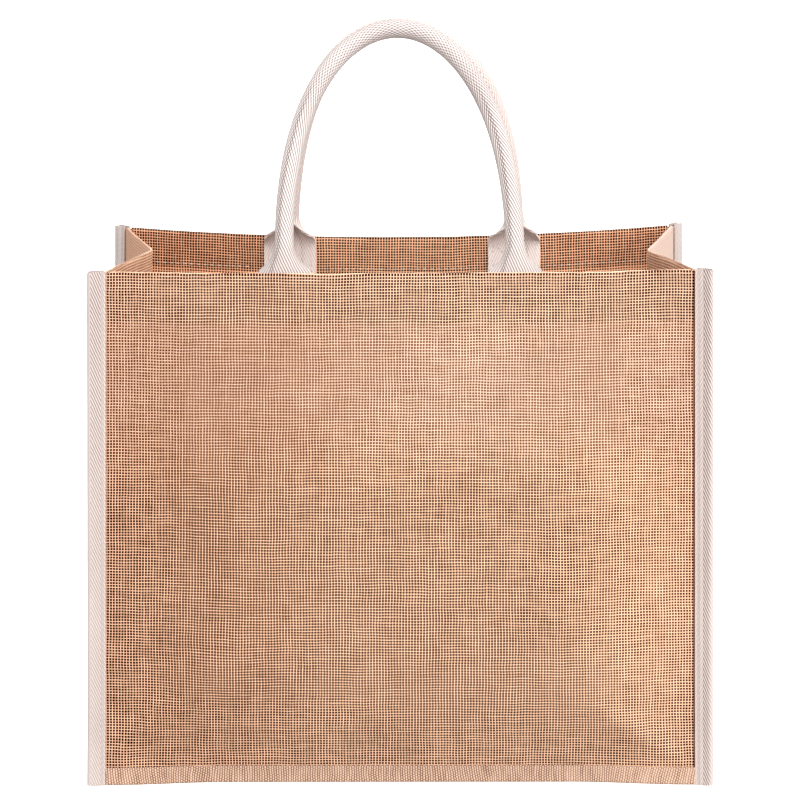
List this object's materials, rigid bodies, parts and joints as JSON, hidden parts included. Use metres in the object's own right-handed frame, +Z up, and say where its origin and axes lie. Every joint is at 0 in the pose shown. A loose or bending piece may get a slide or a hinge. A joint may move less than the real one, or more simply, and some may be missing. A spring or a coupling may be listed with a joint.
{
  "type": "burlap tote bag",
  "caption": "Boxy burlap tote bag, open at the top, with gussets folded in, cotton tape over the upright seams and rolled webbing handles.",
  "frame": {"origin": "middle of the bag on the surface that it stands on", "axes": "+Z up, the front faces -Y, +X to the right as seen from the front"},
  "size_m": [0.4218, 0.215, 0.505],
  "materials": {
    "burlap": "plain woven jute, about 13 threads to the inch",
    "burlap_strip": "jute strip folded over the base seams",
    "cotton_tape": "twill cotton tape, undyed",
    "cotton_webbing": "thick herringbone cotton webbing, undyed"
  },
  "bodies": {
    "root": {"front_panel": "burlap", "back_panel": "burlap", "gusset_left": "burlap", "gusset_right": "burlap", "base_panel": "burlap", "base_binding_front": "burlap_strip", "base_binding_back": "burlap_strip", "base_binding_left": "burlap_strip", "base_binding_right": "burlap_strip", "tape_front_left": "cotton_tape", "tape_front_right": "cotton_tape", "tape_back_left": "cotton_tape", "tape_back_right": "cotton_tape", "handle_front": "cotton_webbing", "handle_back": "cotton_webbing"}
  },
  "joints": []
}
